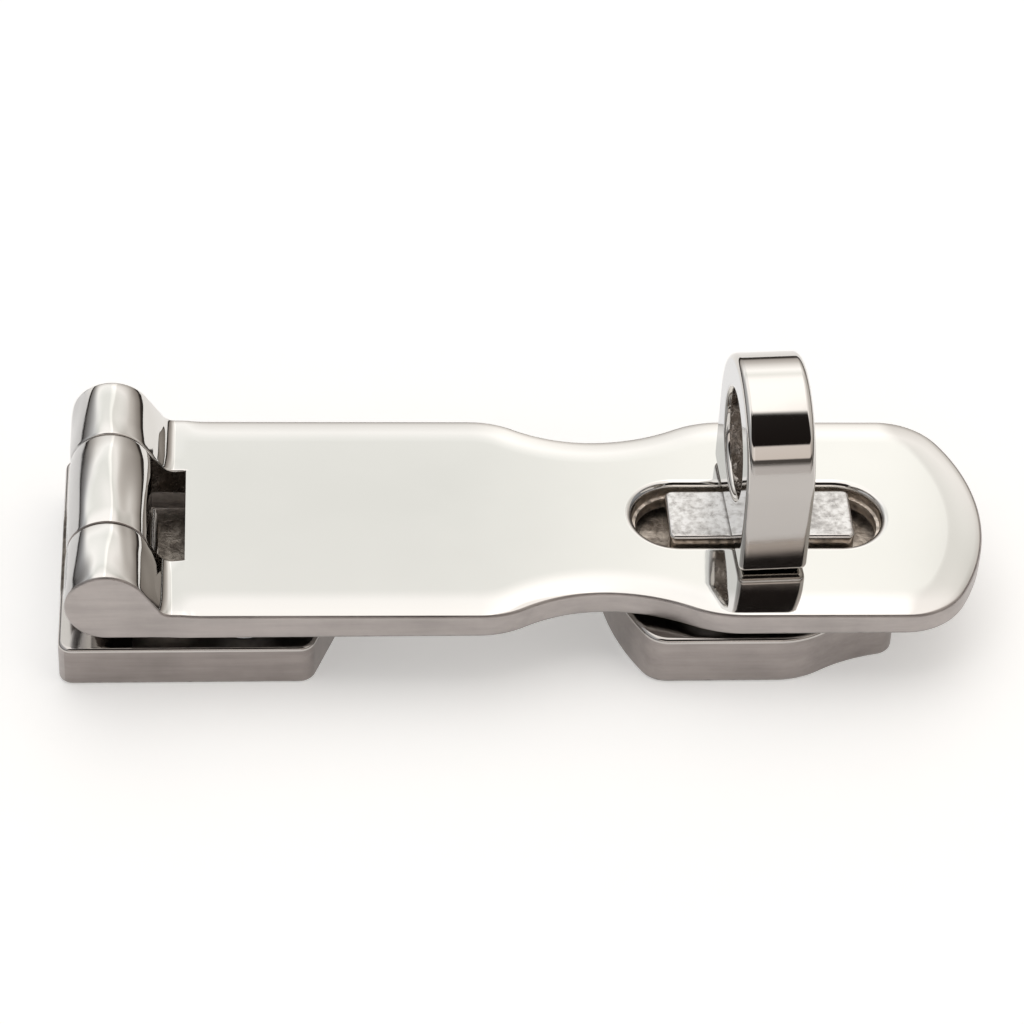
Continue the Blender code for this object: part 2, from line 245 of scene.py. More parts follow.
def prism(name, outer, lo, hi, mats, top=None, bottom=None, holes=(), top_z=None, matrix=None, sharp=38,
          faces=(0, 1, 2, 3)):
    """Plate with rounded edges. faces are the material slots of top, side, bottom and hole walls.
    holes: (outline, top edge profile, bottom edge profile)."""
    b = Build(name)
    tz = top_z or (lambda x, y: hi)
    top = top or round_edge(0.3)
    bottom = bottom or round_edge(0.2)
    tops, bots = [], []
    for k, (pts, te, be) in enumerate([(outer, top, bottom)] + list(holes)):
        pts = ccw(pts)
        nn = normals(pts)
        sg = -1 if k == 0 else 1
        side = faces[1] if k == 0 else faces[3]
        rings, kinds = [], []
        for i, d in te:
            rings.append([b.v(x + sg * i * nx, y + sg * i * ny, tz(x, y) - d) for (x, y), (nx, ny) in zip(pts, nn)])
            kinds.append(faces[3] if te[-1][1] > 1.0 and d > 0 else faces[0])      # a deep one is a countersink
        for i, d in reversed(be):
            rings.append([b.v(x + sg * i * nx, y + sg * i * ny, lo + d) for (x, y), (nx, ny) in zip(pts, nn)])
            kinds.append(faces[2])
        m = len(te)
        for r in range(len(rings) - 1):
            mat = kinds[r] if r + 1 < m - 1 else (side if r < m + 1 else faces[2])
            if r >= m - 2:
                mat = side if r <= m else faces[2]
            b.strip(rings[r], rings[r + 1], mat, closed=True)
        tops.append(rings[0])
        bots.append(rings[-1])
    b.cap(tops, faces[0])
    b.cap(bots, faces[2])
    return b.done(mats, matrix=matrix, sharp=sharp)


def tube_piece(name, stations, mats, seg=64, matrix=None, sharp=38):
    """Turned solid about Z from (radius, z) stations, closed at both ends."""
    b = Build(name)
    rings = []
    for r, z in stations:
        rings.append([b.v(r * cos(2 * pi * i / seg), r * sin(2 * pi * i / seg), z) for i in range(seg)])
    for p, q in zip(rings, rings[1:]):
        b.strip(p, q, 0, closed=True)
    b.face(rings[0])
    b.face(list(reversed(rings[-1])))
    return b.done(mats, matrix=matrix, sharp=sharp)


def union(a, b, how="UNION"):
    m = a.modifiers.new("join", "BOOLEAN")
    m.operation, m.solver, m.object = how, "EXACT", b
    m.material_mode = "TRANSFER"
    bpy.context.view_layer.update()
    dg = bpy.context.evaluated_depsgraph_get()
    me = bpy.data.meshes.new_from_object(a.evaluated_get(dg))
    me.name = a.name
    old = a.data
    a.modifiers.clear()
    a.data = me
    bpy.data.meshes.remove(old)
    bpy.data.objects.remove(b, do_unlink=True)
    a.data.shade_smooth()
    a.data.set_sharp_from_angle(angle=radians(38))
    return a


# ------------------------------------------------------------------ materials
class Nodes:
    def __init__(self, name):
        self.mat = bpy.data.materials.new(name)
        self.mat.use_nodes = True
        self.t = self.mat.node_tree
        self.p = self.t.nodes["Principled BSDF"]
        self.tc = self.n("ShaderNodeTexCoord")

    def n(self, kind, **kw):
        node = self.t.nodes.new(kind)
        for k, v in kw.items():
            setattr(node, k, v)
        return node

    def link(self, a, b):
        self.t.links.new(a, b)

    def scaled(self, scale, rot=(0, 0, 0)):
        m = self.n("ShaderNodeMapping")
        m.inputs["Scale"].default_value = scale
        m.inputs["Rotation"].default_value = rot
        self.link(self.tc.outputs["Object"], m.inputs["Vector"])
        return m.outputs["Vector"]

    def noise(self, vec, scale, detail=3.0, rough=0.5, distortion=0.0):
        x = self.n("ShaderNodeTexNoise")
        x.inputs["Scale"].default_value = scale
        x.inputs["Detail"].default_value = detail
        x.inputs["Roughness"].default_value = rough
        x.inputs["Distortion"].default_value = distortion
        self.link(vec, x.inputs["Vector"])
        return x.outputs["Fac"]

    def ramp(self, fac, stops):
        r = self.n("ShaderNodeValToRGB")
        el = r.color_ramp.elements
        el[0].position, el[0].color = stops[0][0], (*stops[0][1], 1)
        el[1].position, el[1].color = stops[-1][0], (*stops[-1][1], 1)
        for pos, col in stops[1:-1]:
            e = el.new(pos)
            e.color = (*col, 1)
        self.link(fac, r.inputs["Fac"])
        return r.outputs["Color"]

    def map(self, fac, a, b, lo=0.0, hi=1.0):
        m = self.n("ShaderNodeMapRange")
        m.inputs["From Min"].default_value, m.inputs["From Max"].default_value = lo, hi
        m.inputs["To Min"].default_value, m.inputs["To Max"].default_value = a, b
        self.link(fac, m.inputs["Value"])
        return m.outputs["Result"]

    def math(self, op, a, b):
        m = self.n("ShaderNodeMath", operation=op)
        for i, v in enumerate((a, b)):
            if isinstance(v, (int, float)):
                m.inputs[i].default_value = v
            else:
                self.link(v, m.inputs[i])
        return m.outputs[0]

    def bump(self, height, dist, strength=1.0, normal=None):
        b = self.n("ShaderNodeBump")
        b.inputs["Distance"].default_value = dist
        b.inputs["Strength"].default_value = strength
        self.link(height, b.inputs["Height"])
        if normal:
            self.link(normal, b.inputs["Normal"])
        return b.outputs["Normal"]

    def out(self, color=None, rough=None, normal=None, metallic=1.0):
        self.p.inputs["Metallic"].default_value = metallic
        for key, v in (("Base Color", color), ("Roughness", rough), ("Normal", normal)):
            if v is None:
                continue
            if isinstance(v, tuple):
                self.p.inputs[key].default_value = (*v, 1)
            elif isinstance(v, (int, float)):
                self.p.inputs[key].default_value = v
            else:
                self.link(v, self.p.inputs[key])
        return self.mat


def polished(name, tint=(0.70, 0.685, 0.66), low=0.025, high=0.075, wave=1.0):
    """Mirror-polished casting: faint wander of the surface, buffing haze, hairline scratches."""
    m = Nodes(name)
    obj = m.scaled((1, 1, 1))
    haze = m.noise(obj, 130, 4, 0.6)
    fine = m.noise(m.scaled((1.0, 14.0, 14.0), (0.3, 0.2, 0.12)), 900, 2, 0.6)
    rough = m.math("ADD", m.map(haze, low, high, 0.35, 0.7), m.map(fine, -0.008, 0.012))
    col = m.ramp(m.noise(obj, 60, 3, 0.5), [(0.35, tuple(c * 0.97 for c in tint)), (0.65, tint)])
    wander = m.bump(m.noise(obj, 90, 1.5, 0.4), 0.00006 * wave, 0.35)
    peel = m.bump(m.noise(obj, 1400, 2, 0.5), 0.0000015, 0.4, wander)
    return m.out(col, rough, peel)


def satin(name, tint=(0.52, 0.50, 0.485), rough=0.34, grain=1.0, along=(60, 900, 900)):
    """Belt-ground edge: fine streaks along the length over a slightly uneven face."""
    m = Nodes(name)
    streak = m.noise(m.scaled(along), 1.0, 6, 0.65)
    cloud = m.noise(m.scaled((1, 1, 1)), 220, 4, 0.6)
    both = m.math("ADD", m.math("MULTIPLY", streak, 0.6), m.math("MULTIPLY", cloud, 0.4))
    col = m.ramp(both, [(0.38, tuple(c * 0.84 for c in tint)), (0.62, tuple(min(1, c * 1.12) for c in tint))])
    r = m.map(both, rough - 0.07, rough + 0.09, 0.3, 0.7)
    nrm = m.bump(streak, 0.00001 * grain, 0.5, m.bump(cloud, 0.00004 * grain, 0.25))
    return m.out(col, r, nrm)


def cast(name, tint=(0.42, 0.39, 0.365), rough=0.42, size=1.0, depth=1.0, contrast=1.0):
    """As-cast skin, tumbled but not polished: pits, lumps and dull patches."""
    m = Nodes(name)
    obj = m.scaled((1, 1, 1))
    lump = m.noise(obj, 900 / size, 5, 0.62, 0.4)
    pit = m.n("ShaderNodeTexVoronoi")
    pit.inputs["Scale"].default_value = 1500 / size
    m.link(obj, pit.inputs["Vector"])
    pits = m.map(pit.outputs["Distance"], 0.0, 1.0, 0.05, 0.5)
    h = m.math("ADD", m.math("MULTIPLY", lump, 0.75), m.math("MULTIPLY", pits, 0.25))
    col = m.ramp(h, [(0.28, tuple(c * (1 - 0.55 * contrast) for c in tint)), (0.5, tint), (0.75, tuple(min(1, c * (1 + 0.45 * contrast)) for c in tint))])
    r = m.map(h, rough + 0.12, rough - 0.14, 0.3, 0.7)
    return m.out(col, r, m.bump(h, 0.00009 * depth, 0.8))


def ground(name):
    """Block top: light grey, matte, mottled, with short scratches in one direction."""
    m = Nodes(name)
    obj = m.scaled((1, 1, 1))
    mottle = m.noise(obj, 1500, 5, 0.62, 0.15)
    big = m.noise(obj, 260, 3, 0.55)
    scr = m.noise(m.scaled((500, 5200, 500), (0, 0, 0.9)), 1.0, 4, 0.7)
    h = m.math("ADD", m.math("MULTIPLY", mottle, 0.82), m.math("MULTIPLY", scr, 0.18))
    col = m.ramp(m.math("ADD", m.math("MULTIPLY", h, 0.7), m.math("MULTIPLY", big, 0.3)),
                 [(0.41, (0.36, 0.345, 0.335)), (0.49, (0.58, 0.565, 0.55)), (0.57, (0.80, 0.79, 0.78))])
    r = m.map(h, 0.22, 0.46, 0.3, 0.7)
    return m.out(col, r, m.bump(h, 0.00003, 0.7))


top_steel = polished("strap_mirror_polish")


def wavy(name, start=None):
    """Polish over a hand-fettled barrel: broad waves that pull reflections into streaks.
    They fade out between the two X values of start. The back of the barrel is rougher, and its colour is painted darker
    as painted shade."""
    m = Nodes(name)
    obj = m.scaled((1, 1, 1))
    haze = m.noise(obj, 130, 4, 0.6)
    fine = m.noise(m.scaled((1.0, 14.0, 14.0), (0.3, 0.2, 0.12)), 900, 2, 0.6)
    tint = (0.70, 0.685, 0.66)
    col = m.ramp(m.noise(obj, 60, 3, 0.5), [(0.35, tuple(c * 0.97 for c in tint)), (0.65, tint)])
    rough = m.math("ADD", m.map(haze, 0.025, 0.075, 0.35, 0.7), m.map(fine, -0.008, 0.012))
    h = m.math("SUBTRACT", m.noise(m.scaled((230, 75, 230)), 1.0, 0.6, 0.3, 0.5), 0.5)
    xyz = m.n("ShaderNodeSeparateXYZ")
    m.link(obj, xyz.inputs[0])
    # painted shade: the back of the barrel gets a darker colour, and it is also made rougher
    back_shade_and_satin = m.map(m.math("ADD", xyz.outputs["X"], m.math("MULTIPLY", haze, 0.0006)), 1.0, 0.0, (HX - BR * 0.64 + 0.3) * MM, (HX - BR * 0.46 + 0.3) * MM)
    back_painted_shade_mix = m.n("ShaderNodeMix", data_type="RGBA")
    s = {q.identifier: q for q in list(back_painted_shade_mix.inputs) + list(back_painted_shade_mix.outputs)}
    m.link(back_shade_and_satin, s["Factor_Float"])
    m.link(col, s["A_Color"])
    s["B_Color"].default_value = (0.50, 0.495, 0.495, 1)
    col = s["Result_Color"]
    rough = m.math("ADD", rough, m.math("MULTIPLY", back_shade_and_satin, 0.10))
    if start:
        h = m.math("MULTIPLY", h, m.map(xyz.outputs["X"], 1.0, 0.0, start[1], start[0]))
    wander = m.bump(m.noise(obj, 90, 1.5, 0.4), 0.00006, 0.35)
    return m.out(col, rough, m.bump(h, 0.00105, 1.0, wander))


knuckle_steel = wavy("knuckle_mirror_polish")
barrel_steel = wavy("barrel_mirror_polish", (-0.0284, -0.0325))

sink_steel = satin("countersink_turned", tint=(0.20, 0.185, 0.175), rough=0.4, along=(900, 900, 300))
eye_satin = polished("eye_shank_polish", tint=(0.51, 0.485, 0.465), low=0.12, high=0.18, wave=0.8)
eye_face = polished("eye_face_polish", tint=(0.575, 0.58, 0.595), low=0.05, high=0.12, wave=1.6)
eye_steel = polished("eye_mirror_polish", tint=(0.64, 0.62, 0.595), wave=0.8)
side_steel = satin("strap_side_satin", tint=(0.41, 0.375, 0.36))
leaf_side = satin("leaf_side_satin", tint=(0.325, 0.29, 0.275))
base_side = satin("base_side_satin", tint=(0.345, 0.31, 0.295), rough=0.36)


def plate(name, dark=1.0):
    """Plate tops: polished outside, left as cast down the middle."""
    m = Nodes(name)
    obj = m.scaled((1, 1, 1))
    xyz = m.n("ShaderNodeSeparateXYZ")
    m.link(obj, xyz.inputs[0])
    lump = m.noise(obj, 900, 5, 0.62, 0.4)
    edge = m.math("ADD", m.math("ABSOLUTE", xyz.outputs["Y"], 0.0), m.math("MULTIPLY", lump, 0.0012))
    mid = m.map(edge, 1.0, 0.0, 0.0049, 0.0062)
    cloud = m.noise(obj, 160, 3, 0.5)
    mix = m.n("ShaderNodeMix", data_type="RGBA")
    s = {q.identifier: q for q in list(mix.inputs) + list(mix.outputs)}
    m.link(mid, s["Factor_Float"])
    m.link(m.ramp(cloud, [(0.35, (0.49, 0.465, 0.445)), (0.65, (0.52, 0.495, 0.475))]), s["A_Color"])
    m.link(m.ramp(lump, [(pos, tuple(c * dark for c in col)) for pos, col in ((0.34, (0.20, 0.17, 0.145)), (0.5, (0.46, 0.405, 0.35)), (0.66, (0.75, 0.68, 0.60)))]), s["B_Color"])
    r = m.math("ADD", m.map(cloud, 0.06, 0.13, 0.35, 0.7), m.math("MULTIPLY", mid, 0.28))
    wander = m.bump(m.noise(obj, 170, 1.5, 0.4), 0.00012, 0.4)
    h = m.math("MULTIPLY", lump, mid)
    return m.out(s["Result_Color"], r, m.bump(h, 0.00016, 0.8, wander))


plate_top = plate("plate_top_polish")
leaf_top = plate("leaf_top_polish", 0.42)
back_cast = cast("underside_cast", tint=(0.33, 0.31, 0.295), rough=0.42, size=1.1, depth=0.5, contrast=0.35)
slot_cast = cast("slot_wall_cast", tint=(0.55, 0.49, 0.43), size=1.0, depth=3.0)
notch_cast = cast("notch_wall_cast", tint=(0.19, 0.165, 0.145), rough=0.3, size=1.2, depth=1.4)
hole_cast = cast("eye_hole_cast", tint=(0.34, 0.31, 0.285), rough=0.3, size=1.2, depth=3.2)
block_top = ground("block_top_ground")
block_side = polished("block_side_polish", tint=(0.66, 0.64, 0.62), low=0.1, high=0.2, wave=2.0)


# ------------------------------------------------------------------ hasp strap
EDGE = round_edge(0.3, n=5, cushion=0.24, width=3.0, rings=7)


def plain(i, r=0.3):
    return r * (1 - sqrt(max(0.0, 1 - (1 - i / r) ** 2))) if i < r else 0.0


EDGE_LOW = [(i, plain(i)) for i, d in EDGE[:-1]] + [(0.0, 0.36)]
WORN = (1.7, 1.4, 1.12, 0.88, 0.66, 0.46, 0.28, 0.12)   # stations of a knuckle's worn end, from its edge rounding inward


def crown(off, width=1.85, depth=0.11):
    """How far polishing has worn a knuckle down, by the distance from its end."""
    return depth * (1 - off / width) ** 2 if off < width else 0.0


def on_barrel(x):
    t = min(1.0, max(0.0, (NOTCH_X - 0.1 - x) / 1.8))
    return t * t * (3 - 2 * t)


def top_z(x):
    return TOP0 + (TOP1 - TOP0) * (x - NOTCH_X) / (TIP - NOTCH_X)


def strap_path():
    """X-Z path from the top at XJ, over the barrel, back along the underside to XJ: (x, z, nx, nz, plate share)."""
    leave = 33.0
    ring = arc(HX, HZ, BR, leave, 270, 84)
    px, pz = ring[0]
    slope = tan(radians(90 - leave))
    foot = (px + (pz - TOP0) / slope, TOP0)
    blend = fillet((px, pz), foot, (TIP, top_z(TIP)), 1.3, 14)
    flat = [(XJ, top_z(XJ))] + [(x, top_z(x)) for x in (-25.0, -26.0, -27.0, -27.8, -28.4, NOTCH_X + 0.3, NOTCH_X, NOTCH_X - 0.25)]
    flat = [p for p in flat if p[0] > blend[-1][0] + 0.05]
    down = [(blend[0][0] + (px - blend[0][0]) * i / 4, blend[0][1] + (pz - blend[0][1]) * i / 4) for i in range(1, 4)]
    under = [(x, BOT) for x in (-33.5, -31.5, -30.2, NOTCH_X - 0.25, NOTCH_X, NOTCH_X + 0.3, -28.4, -27.8, -27.0, -26.0, -25.0, XJ)]
    pts = clean(flat + list(reversed(blend)) + down + ring + under, closed=False)
    nn = normals(pts, closed=False)
    out = []
    for (x, z), (nx, nz) in zip(pts, nn):
        L = hypot(nx, nz)
        share = min(1.0, max(0.0, (x + 30.6) / 3.2)) if z > HZ - BR + 1 else 0.0
        out.append((x, z, nx / L, nz / L, share * share * (3 - 2 * share)))
    out[0] = (*out[0][:2], 0.0, 1.0, 1.0)
    out[-1] = (*out[-1][:2], 0.0, -1.0, 0.0)
    return out


def build_strap():
    b = Build("hasp_strap_detail")
    out = strap_outline()
    nn = normals(out, closed=False, ends=((0, -1), (0, 1)))
    rings = []
    for i, d in EDGE:
        rings.append([b.v(x - i * nx, y - i * ny, top_z(x - i * nx) - d) for (x, y), (nx, ny) in zip(out, nn)])
    m = len(EDGE)
    for i, d in reversed(EDGE_LOW):
        rings.append([b.v(x - i * nx, y - i * ny, BOT + d) for (x, y), (nx, ny) in zip(out, nn)])
    for r in range(len(rings) - 1):
        mat = 0 if r < m - 6 else (1 if r < m + 1 else 2)
        b.strip(rings[r], rings[r + 1], mat)
    # slot
    slot = ccw(arc(SLOT_X + SLOT_L - SLOT_W, 0, SLOT_W, -90, 90, 32) + arc(SLOT_X - SLOT_L + SLOT_W, 0, SLOT_W, 90, 270, 32))
    slot = spread(clean(slot), 1.5)
    sn = normals(slot)
    rim, rim_low = round_edge(0.62, n=7), round_edge(0.25, n=3)
    srings = [[b.v(x + i * nx, y + i * ny, top_z(x + i * nx) - d) for (x, y), (nx, ny) in zip(slot, sn)] for i, d in rim]
    k = len(srings)
    ledge = 0.36                                 # the draft step left by the two halves of the mould
    low = [(0.0, 1.28), (-0.05, 1.20), (-0.31, 1.15), (-0.36, 1.07)] + [(i - ledge, d) for i, d in reversed(rim_low)]
    srings += [[b.v(x + i * nx, y + i * ny, BOT + d) for (x, y), (nx, ny) in zip(slot, sn)] for i, d in low]
    for r in range(len(srings) - 1):
        b.strip(srings[r], srings[r + 1], 0 if r < k - 3 else (3 if r < k + 5 else 2), closed=True)
    rn = 0.16                                    # rounding of the notch's side edges
    ny = [NOTCH_Y + rn + o for o in WORN] + [NOTCH_Y + rn * (1 - sin(pi / 2 * i / 5)) for i in range(6)]
    across = ny + [0.0] + [-y for y in reversed(ny)]
    b.cap([rings[0] + [b.v(XJ, y, top_z(XJ)) for y in across], srings[0]], 0)
    b.cap([rings[-1] + [b.v(XJ, y, BOT) for y in across], srings[-1]], 2)
    # hinge end: strips either side of the notch, then the middle
    path = strap_path()
    low0 = max(i for i, p in enumerate(path) if p[1] > HZ)          # last station above the axis
    for sg in (1, -1):
        cols = []
        def column(kind):
            """kind: (inset from the outer face, drop without and with the plate's cushion)"""
            out = []
            for x, z, nx, nz, sh in path:
                inset, dd, dc = kind(x)
                drop = dd + (dc - dd) * sh + crown(inset) * on_barrel(x)
                out.append(b.v(x - drop * nx, sg * (HW - inset), z - drop * nz))
            return out
        # outer edge: same insets as the plate's edge on top; the same rounding without cushion elsewhere
        for (i, d) in EDGE:
            cols.append((i, 0.36 if d == EDGE[-1][1] else plain(i), d))
        cut = []
        for inset, bare, full in cols:
            cut.append(column(lambda q, inset=inset, bare=bare, full=full: (inset, bare, full)))
        # notch side
        for i, y in enumerate(ny):
            turn = rn * (1 - cos(pi / 2 * max(0, i - len(WORN)) / 5))
            col = []
            for x, z, nx, nz, sh in path:
                drop = (turn if x < NOTCH_X - 0.01 else 0) + crown(y - NOTCH_Y) * on_barrel(x)
                col.append(b.v(x - drop * nx, sg * y, z - drop * nz))
            cut.insert(0, col)
        for c in range(len(cut) - 1):
            for s in range(len(path) - 1):
                under = path[s][1] < HZ and path[s][0] > HX and s > low0
                edge_col = c >= len(cut) - 6
                mat = 1 if edge_col else (2 if under else 0)
                b.face((cut[c][s], cut[c][s + 1], cut[c + 1][s + 1], cut[c + 1][s]), mat)
        # flat outer end face and notch side face
        outer = cut[-1]
        b.face(outer if sg > 0 else list(reversed(outer)), 1)
        inner = cut[0]
        top_i = [i for i, q in enumerate(path) if q[0] <= NOTCH_X + 0.01]
        b.face([inner[i] for i in top_i], 5)
    # middle of the plate, up to the notch wall
    mid = [(q[0], q[1]) for q in path if q[0] > NOTCH_X - 0.01 and q[1] > HZ - BR + 1]
    mid += [(q[0], q[1]) for q in path if q[0] > NOTCH_X - 0.01 and q[1] < HZ - BR + 1]
    ys = [-NOTCH_Y, 0.0, NOTCH_Y]
    grid = [[b.v(x, y, z) for x, z in mid] for y in ys]
    for c in range(len(ys) - 1):
        for s in range(len(mid) - 1):
            wall = mid[s][0] < NOTCH_X + 0.25 and mid[s + 1][0] < NOTCH_X + 0.25
            b.face((grid[c][s], grid[c][s + 1], grid[c + 1][s + 1], grid[c + 1][s]), 5 if wall else (0 if mid[s][1] > BOT + 1 else 2))
    ob = b.done([top_steel, side_steel, back_cast, slot_cast, barrel_steel, notch_cast], merge=2e-6, sharp=42)
    for f in ob.data.polygons:
        if f.material_index == 0 and f.center.x < -0.0282:
            f.material_index = 4
    return ob


strap = build_strap()
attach(strap, "strap")
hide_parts("hasp_strap")

# ------------------------------------------------------------------ hinge leaf
L0, LW, LT = l_lo[0], l_hi[1], 4.05
LC, LN, LNY = -18.4, -14.4, 2.2
leaf_pts = rounded([(L0, LW, 1.2), (L0, -LW, 1.2), (LC, -LW, 1.5), (LN, -LNY, 3.0), (LN, LNY, 3.0), (LC, LW, 1.5)])


def circle(x, y, r, n=40):
    return arc(x, y, r, 0, 360, n)[:-1]


def sink(r, head):
    """Countersink: (distance outside the hole, drop)."""
    return [(head - r + 0.3, 0.0), (head - r + 0.06, 0.0), (head - r, 0.04), (0.02, head - r + 0.02), (0.0, head - r + 0.08)]


leaf_holes = [(circle(-24.0, y, 2.1), sink(2.1, 3.6), [(0.3, 0.0), (0.15, 0.0), (0.0, 0.15), (0.0, 0.3)]) for y in (7.2, -7.2)]
leaf = prism("hinge_leaf_detail", spread(leaf_pts, 3.0), 0.0, LT, [leaf_top, leaf_side, back_cast, side_steel, sink_steel], faces=(0, 1, 2, 4),
             top=round_edge(0.35, 5), bottom=round_edge(0.3, 4), holes=leaf_holes)
KW = 5.54


def extrude_profile(name, prof, y0, y1, r, mats, sharp=38):
    """Closed X-Z profile extruded along Y with rounded end edges."""
    b = Build(name)
    prof = ccw(clean(prof))
    nn = normals(prof)
    cols = []
    for y, sg in ((y0, 1), (y1, -1)):
        part = [(y + sg * (r + o), crown(r + o)) for o in WORN]
        for th in [pi / 2 * i / 4 for i in range(5)]:
            part.append((y + sg * r * (1 - sin(th)), r * (1 - cos(th)) + crown(r * (1 - sin(th)))))
        part.append((y, r + 0.04 + crown(0)))
        cols.append(part)
    seq = list(reversed(cols[0])) + cols[1]
    rings = [[b.v(x - d * nx, y, z - d * nz) for (x, z), (nx, nz) in zip(prof, nn)] for y, d in seq]
    for k, (p, q) in enumerate(zip(rings, rings[1:])):
        b.strip(p, q, 0 if 3 < k < len(rings) - 5 else 1, closed=True)
    b.face(rings[0], 1)
    b.face(rings[-1], 1)
    return b.done(mats, sharp=sharp)


kring = arc(HX, HZ, BR, -20, 180, 72)
sunk = LT - 0.03
neck = fillet(kring[0], (HX + 2.9, sunk), (HX + 7, sunk), 1.2, 10)
kprof = kring + [(HX - BR, 6.5), (HX - BR, 5.0), (HX - BR, 3.4), (neck[-1][0], 3.4)] + list(reversed(neck))
knuckle = extrude_profile("centre_knuckle", kprof, -KW, KW, 0.14, [knuckle_steel, leaf_side])
for f in leaf.data.polygons:
    if f.material_index == 1 and f.normal.x < -0.5:
        f.material_index = 3
leaf = union(leaf, knuckle)
to_y = Matrix(((1, 0, 0, HX * MM), (0, 0, 1, 0), (0, -1, 0, HZ * MM), (0, 0, 0, 1)))
pin_bore = tube_piece("pin_bore", [(1.56, -8.0), (1.56, 8.0)], [side_steel], matrix=to_y)
leaf = union(leaf, pin_bore, "DIFFERENCE")
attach(leaf, "leaf")
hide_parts("hinge_leaf")

# ------------------------------------------------------------------ staple base
BT, BW = 4.95, b_hi[1]
BL, BRT = b_lo[0], b_hi[0]


def base_outline():
    ear = 31.0
    rc, rv = 7.5, 16.0
    sx = SLOT_X + 0.95
    p = (sx + rc * sin(radians(ear)), BW - rc + rc * cos(radians(ear)))
    vc = (p[0] + rv * sin(radians(ear)), p[1] + rv * cos(radians(ear)))
    q = arc(vc[0], vc[1], rv, 260, 270 - ear, 14)
    half = [(BRT, 0)] + fillet((BRT, 0), (BRT, q[0][1] - 0.25), q[1], 1.6, 10) + q[1:]
    half += arc(sx, BW - rc, rc, 90 - ear, 90, 14)[1:]
    ex = BL + 21.6
    fx = ex - sqrt((21.6 - 2.5) ** 2 - (BW - 2.5) ** 2)
    a = degrees(atan2(BW - 2.5, ex - fx))
    half += arc(fx, BW - 2.5, 2.5, 90, 180 - a, 10) + arc(ex, 0, 21.6, 180 - a, 180, 20)[1:]
    return spread(clean(half + [(x, -y) for x, y in reversed(half)]), 2.5)


base_holes = [(circle(15.7, y, 2.1), sink(2.1, 3.6), [(0.3, 0.0), (0.15, 0.0), (0.0, 0.15), (0.0, 0.3)]) for y in (7.1, -7.1)]
base = prism("staple_base_detail", base_outline(), 0.0, BT, [plate_top, base_side, back_cast, side_steel, sink_steel], faces=(0, 1, 2, 4),
             top=round_edge(0.4, 5), bottom=round_edge(0.35, 4), holes=base_holes)
BXL, BXW, BKT = 8.0, 2.95, b_hi[2]
blk = rounded([(EX + BXL, BXW, 0.6), (EX - BXL, BXW, 0.6), (EX - BXL, -BXW, 0.6), (EX + BXL, -BXW, 0.6)], 6)
block = prism("block", spread(blk, 2.0), BT - 0.6, BKT, [block_top, block_side, base_side], faces=(0, 1, 2, 1),
              top=round_edge(0.3, 5), bottom=round_edge(0.05, 2))
for f in block.data.polygons:
    if f.material_index == 0 and f.normal.z < 0.97:
        f.material_index = 1
base = union(base, block)
bore = tube_piece("bore", [(1.96, 1.0), (1.96, 10.0)], [side_steel], matrix=Matrix.Translation((EX * MM, 0, 0)))
base = union(base, bore, "DIFFERENCE")
pocket = tube_piece("pocket", [(4.75, -1.0), (4.75, 0.0), (4.6, 0.15), (4.6, 3.7)], [back_cast], matrix=Matrix.Translation((EX * MM, 0, 0)))
base = union(base, pocket, "DIFFERENCE")
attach(base, "staple")
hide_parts("staple_base")

# ------------------------------------------------------------------ swivel eye
ER, EHR, EZ, EF, ET = 7.7, 4.7, 16.25, 8.16, 2.9
TURN = 3.0                              # degrees off square
arch = arc(0, EZ, ER, 0, 180, 96)
arch += fillet((-ER, EZ), (-ER, EF), (0, EF), 0.8, 8) + fillet((0, EF), (ER, EF), (ER, EZ), 0.8, 8)
to_x = Matrix(((0, 0, 1, EX * MM), (1, 0, 0, 0), (0, 1, 0, 0), (0, 0, 0, 1)))
eye = prism("swivel_eye_detail", spread(clean(arch), 1.2), -ET, ET, [eye_steel, eye_satin, hole_cast, eye_face], faces=(0, 0, 0, 2),
            top=round_edge(0.55, 7), bottom=round_edge(0.55, 7),
            holes=[(circle(0, EZ, EHR, 96), round_edge(0.45, 5), round_edge(0.45, 5))], matrix=to_x)
stem = tube_piece("stem", [(1.2, 0.45), (1.45, 0.7), (1.45, 2.45), (1.9, 2.45), (1.9, 9.0)], [side_steel],
                  matrix=Matrix.Translation((EX * MM, 0, 0)))
eye = union(eye, stem)
for f in eye.data.polygons:                # the flat edge under the round is duller
    if f.material_index == 0 and abs(f.normal.y) > 0.7 and EF * MM < f.center.z < (EZ + 3.55) * MM and hypot(f.center.y, max(0, f.center.z - EZ * MM)) > (ER - 0.4) * MM:
        f.material_index = 1
    elif f.material_index == 0 and abs(f.normal.x) > 0.985 and f.center.z > EF * MM:
        f.material_index = 3
turned = Matrix.Translation((EX * MM, 0, 0)) @ Matrix.Rotation(radians(TURN), 4, "Z") @ Matrix.Translation((-EX * MM, 0, 0))
eye.data.transform(turned)
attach(eye, "eye")
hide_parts("swivel_eye")

# ------------------------------------------------------------------ small pieces that keep their CAD shape
small = {"hinge_pin": satin("pin_turned", tint=(0.6, 0.58, 0.56), rough=0.2, along=(900, 60, 900)),
         "wave_washer": satin("spring_steel_blue_grey", tint=(0.42, 0.42, 0.43), rough=0.28),
         "flat_washer": satin("washer_stamped", tint=(0.56, 0.55, 0.54), rough=0.3),
         "lock_nut": satin("nut_machined", tint=(0.6, 0.59, 0.575), rough=0.24, along=(900, 900, 60))}
for name, mat in small.items():
    ob = frame["nodes"][name]
    ob.data.materials.clear()
    ob.data.materials.append(mat)

